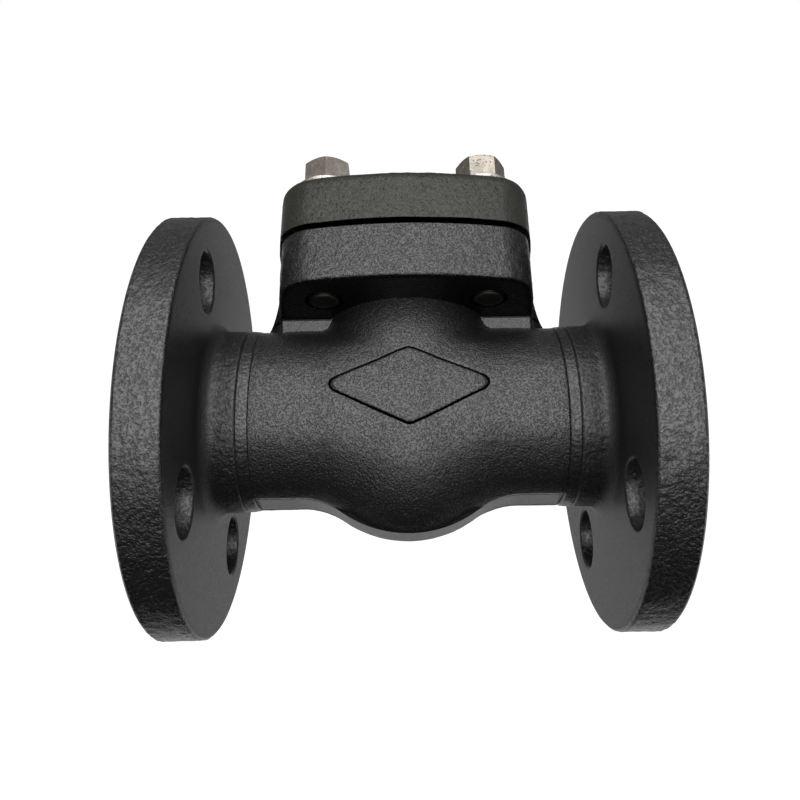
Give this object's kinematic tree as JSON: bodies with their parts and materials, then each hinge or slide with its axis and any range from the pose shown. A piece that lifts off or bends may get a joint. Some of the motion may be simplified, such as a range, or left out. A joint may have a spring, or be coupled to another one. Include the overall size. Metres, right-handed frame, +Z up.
{
  "type": "piston check valve",
  "caption": "Straight-through piston check valve with flanged ends and a bolted square cover, whose guided piston lifts off its seat with the flow.",
  "frame": {"origin": "centre of the inlet flange's raised face, on the pipe axis", "axes": "+X along the pipe with the flow, +Z up through the cover, +Y to the rear"},
  "size_m": [0.127, 0.11, 0.1223],
  "materials": {
    "forged_black": "satin",
    "flange_black": "satin",
    "weld_black": "satin",
    "cover_black": "satin",
    "bolt_steel": "satin",
    "washer_steel": "satin",
    "seat_steel": "ground",
    "piston_steel": "turned",
    "spring_steel": "drawn",
    "gasket_winding": "matte"
  },
  "bodies": {
    "valve_body": {"body": "forged_black", "inlet_flange": "flange_black", "outlet_flange": "flange_black", "inlet_weld": "weld_black", "outlet_weld": "weld_black", "seat_ring": "seat_steel", "cover_gasket": "gasket_winding", "cover": "cover_black", "piston_spring": "spring_steel", "cover_bolt_front_left": "bolt_steel", "cover_bolt_front_right": "bolt_steel", "cover_bolt_rear_left": "bolt_steel", "cover_bolt_rear_right": "bolt_steel", "cover_washer_front_left": "washer_steel", "cover_washer_front_right": "washer_steel", "cover_washer_rear_left": "washer_steel", "cover_washer_rear_right": "washer_steel"},
    "piston": {"piston": "piston_steel"}
  },
  "joints": [
    {"name": "piston_lift", "type": "slide", "parent": "valve_body", "child": "piston", "axis": [0, 0, 1], "range_m": [0, 0.007], "stiffness_N_per_m": 300, "springref_m": -0.006, "deforming": ["piston_spring"]}
  ]
}
